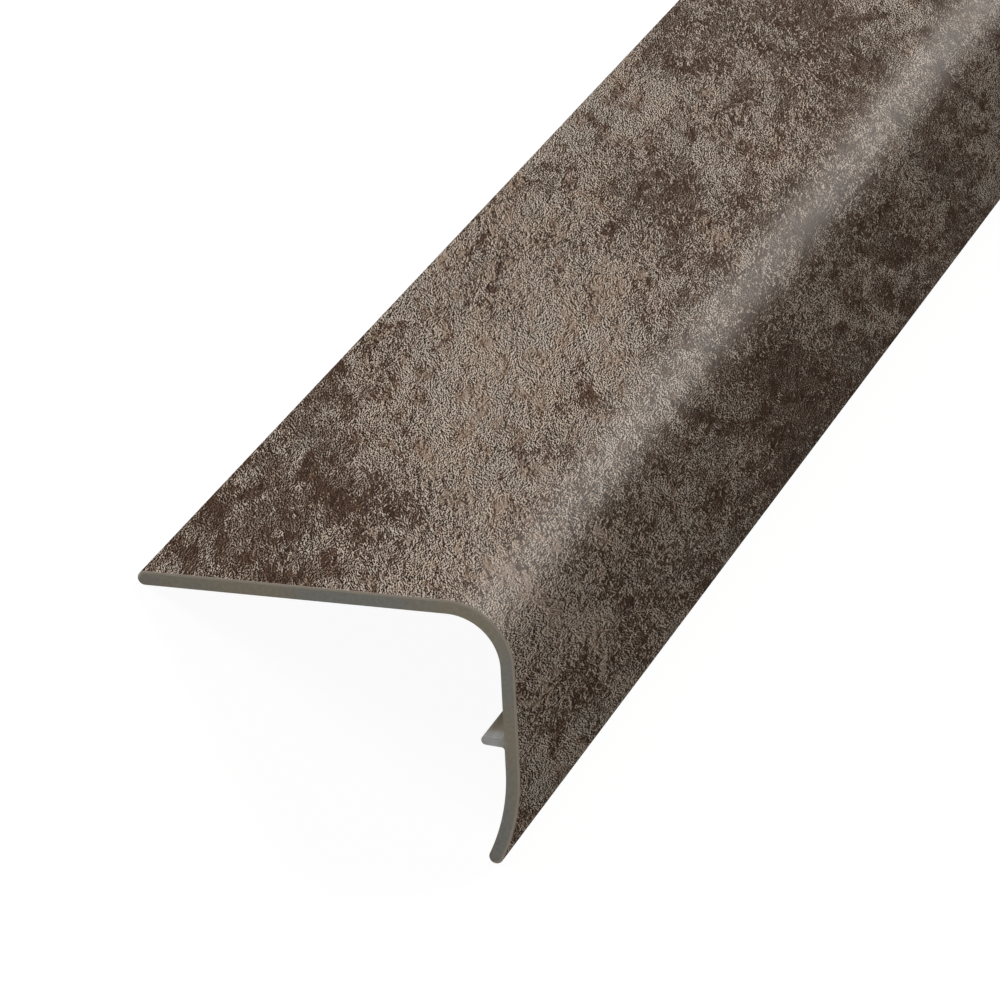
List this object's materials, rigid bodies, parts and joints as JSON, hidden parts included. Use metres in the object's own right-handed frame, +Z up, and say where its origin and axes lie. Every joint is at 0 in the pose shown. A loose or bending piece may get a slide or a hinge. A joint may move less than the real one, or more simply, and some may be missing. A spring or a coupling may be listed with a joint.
{
  "type": "vinyl stair nosing",
  "caption": "L-shaped vinyl profile that caps the front edge of a step: flat tread leg, round bend, riser leg with a curled toe and a locating rib, stone-look show side.",
  "frame": {"origin": "middle of the footprint on the floor: halfway along the stock, midway between the outer limits of the toe and of the tread's back edge, at floor level", "axes": "+X along the stock, -Y towards the front (the riser side), +Z up from the floor it lies on. The show side is up, so the tread leg slopes 35.9 degrees down towards +Y"},
  "size_m": [2, 0.0558, 0.0255],
  "materials": {
    "vinyl_film": "satin"
  },
  "bodies": {
    "root": {"stair_nosing": "vinyl_film"}
  },
  "joints": []
}
